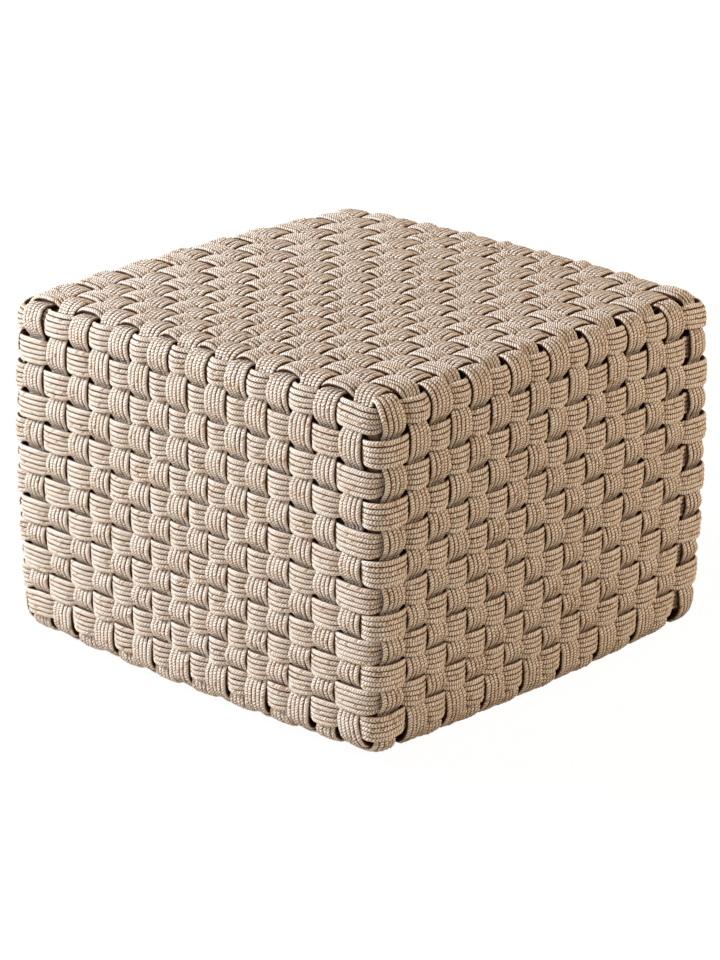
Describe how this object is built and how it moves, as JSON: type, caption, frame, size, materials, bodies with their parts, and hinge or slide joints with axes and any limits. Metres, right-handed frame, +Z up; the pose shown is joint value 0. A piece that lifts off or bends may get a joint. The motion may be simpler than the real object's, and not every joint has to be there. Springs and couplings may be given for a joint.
{
  "type": "outdoor ottoman footstool",
  "caption": "Square woven outdoor ottoman: flat bands of braided cord in a plain weave over a foam-filled tube frame, on low glides.",
  "frame": {"origin": "on the ground, under the middle of the ottoman", "axes": "+Z up, -Y towards the front (the left-hand face in the picture), +X to the right-hand side; millimetres in the source, metres here"},
  "size_m": [0.56, 0.56, 0.406],
  "materials": {
    "cord": "braided matt cord, sand with brown flecks",
    "foam": "open-cell foam under a brown liner",
    "tube": "matt powder coat",
    "board": "matt black polyethylene board",
    "glide": "matt black nylon",
    "screw": "stainless steel"
  },
  "bodies": {
    "root": {"front_back_band_01": "cord", "front_back_band_02": "cord", "front_back_band_03": "cord", "front_back_band_04": "cord", "front_back_band_05": "cord", "front_back_band_06": "cord", "front_back_band_07": "cord", "front_back_band_08": "cord", "front_back_band_09": "cord", "front_back_band_10": "cord", "front_back_band_11": "cord", "front_back_band_12": "cord", "front_back_band_13": "cord", "front_back_band_14": "cord", "front_back_band_15": "cord", "front_back_band_16": "cord", "side_side_band_01": "cord", "side_side_band_02": "cord", "side_side_band_03": "cord", "side_side_band_04": "cord", "side_side_band_05": "cord", "side_side_band_06": "cord", "side_side_band_07": "cord", "side_side_band_08": "cord", "side_side_band_09": "cord", "side_side_band_10": "cord", "side_side_band_11": "cord", "side_side_band_12": "cord", "side_side_band_13": "cord", "side_side_band_14": "cord", "side_side_band_15": "cord", "side_side_band_16": "cord", "hoop_band_01": "cord", "hoop_band_02": "cord", "hoop_band_03": "cord", "hoop_band_04": "cord", "hoop_band_05": "cord", "hoop_band_06": "cord", "hoop_band_07": "cord", "hoop_band_08": "cord", "hoop_band_09": "cord", "hoop_band_10": "cord", "hoop_band_11": "cord", "hoop_band_12": "cord", "tube_frame": "tube", "foam_block": "foam", "base_board": "board", "glide_01": "glide", "glide_02": "glide", "glide_03": "glide", "glide_04": "glide", "glide_screw_01": "screw", "glide_screw_02": "screw", "glide_screw_03": "screw", "glide_screw_04": "screw"}
  },
  "joints": []
}
